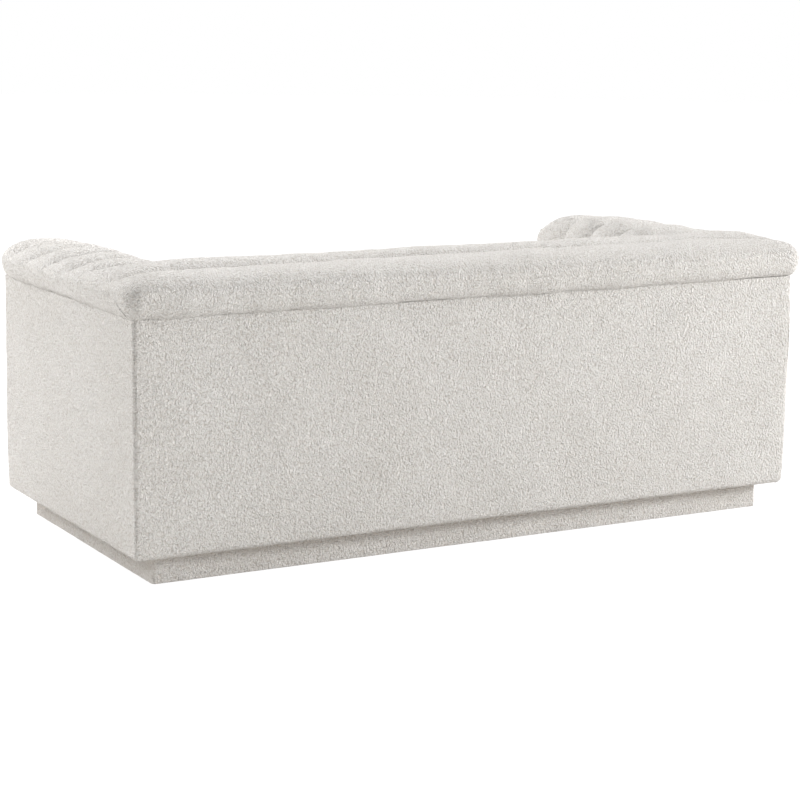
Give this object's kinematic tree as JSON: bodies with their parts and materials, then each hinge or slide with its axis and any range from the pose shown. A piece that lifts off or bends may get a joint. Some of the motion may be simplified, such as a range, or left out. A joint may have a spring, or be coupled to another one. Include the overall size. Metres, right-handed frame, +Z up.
{
  "type": "tuxedo sofa",
  "caption": "Low boucle sofa with a recessed plinth, a box body, overhanging channelled arms and back, and loose seat cushions that lift off.",
  "frame": {"origin": "on the floor under the middle of the sofa's overall box", "axes": "+Z up; the sofa faces -Y, so +Y points out of its back; +X runs to the sitter's left, along the length"},
  "size_m": [1.872, 0.881, 0.7103],
  "materials": {
    "boucle": "looped boucle weave, matt",
    "plywood": "raw plywood",
    "softwood": "planed, raw",
    "fibreboard": "raw",
    "zinc_steel": "zinc plated",
    "spring_steel": "oil tempered",
    "clip_plastic": "moulded",
    "glide_plastic": "moulded",
    "black_cloth": "non-woven",
    "deck_cloth": "plain weave",
    "felt": "felted",
    "webbing": "elastic webbing",
    "foam": "cut foam",
    "zip": "coil zip on woven tape"
  },
  "bodies": {
    "sofa": {"back_foam": "foam", "back_left_rib": "plywood", "back_lower_rail": "softwood", "back_middle_ribs": "plywood", "back_outer_board": "fibreboard", "back_panel": "boucle", "back_right_rib": "plywood", "back_roll": "boucle", "back_top_board": "plywood", "back_top_foam": "foam", "back_upper_rail": "softwood", "back_webbing": "webbing", "deck_cloth": "deck_cloth", "deck_pad": "felt", "dust_cloth": "black_cloth", "front_rail_panel": "boucle", "glides": "glide_plastic", "inner_back_channels": "boucle", "left_arm_bottom_board": "plywood", "left_arm_channels": "boucle", "left_arm_foam": "foam", "left_arm_front_board": "plywood", "left_arm_front_panel": "boucle", "left_arm_inner_board": "plywood", "left_arm_rear_board": "plywood", "left_arm_top_board": "plywood", "left_outer_board": "fibreboard", "left_side_panel": "boucle", "plinth_back_rail": "softwood", "plinth_bolts": "zinc_steel", "plinth_braces": "softwood", "plinth_corner_blocks": "softwood", "plinth_cover": "boucle", "plinth_front_rail": "softwood", "plinth_left_rail": "softwood", "plinth_right_rail": "softwood", "right_arm_bottom_board": "plywood", "right_arm_channels": "boucle", "right_arm_foam": "foam", "right_arm_front_board": "plywood", "right_arm_front_panel": "boucle", "right_arm_inner_board": "plywood", "right_arm_rear_board": "plywood", "right_arm_top_board": "plywood", "right_outer_board": "fibreboard", "right_side_panel": "boucle", "seat_braces": "softwood", "seat_corner_blocks": "softwood", "seat_front_rail": "softwood", "seat_rear_rail": "softwood", "seat_springs": "spring_steel", "second_roll": "boucle", "spring_clips": "clip_plastic", "spring_tie_wires": "spring_steel"},
    "left_seat_cushion": {"left_cushion_core": "foam", "left_cushion_cover": "boucle", "left_cushion_zip": "zip"},
    "right_seat_cushion": {"right_cushion_core": "foam", "right_cushion_cover": "boucle", "right_cushion_zip": "zip"}
  },
  "joints": [
    {"name": "left_cushion_lift", "type": "slide", "parent": "sofa", "child": "left_seat_cushion", "axis": [0, 0, 1], "range_m": [0, 0.5]},
    {"name": "right_cushion_lift", "type": "slide", "parent": "sofa", "child": "right_seat_cushion", "axis": [0, 0, 1], "range_m": [0, 0.5]}
  ]
}
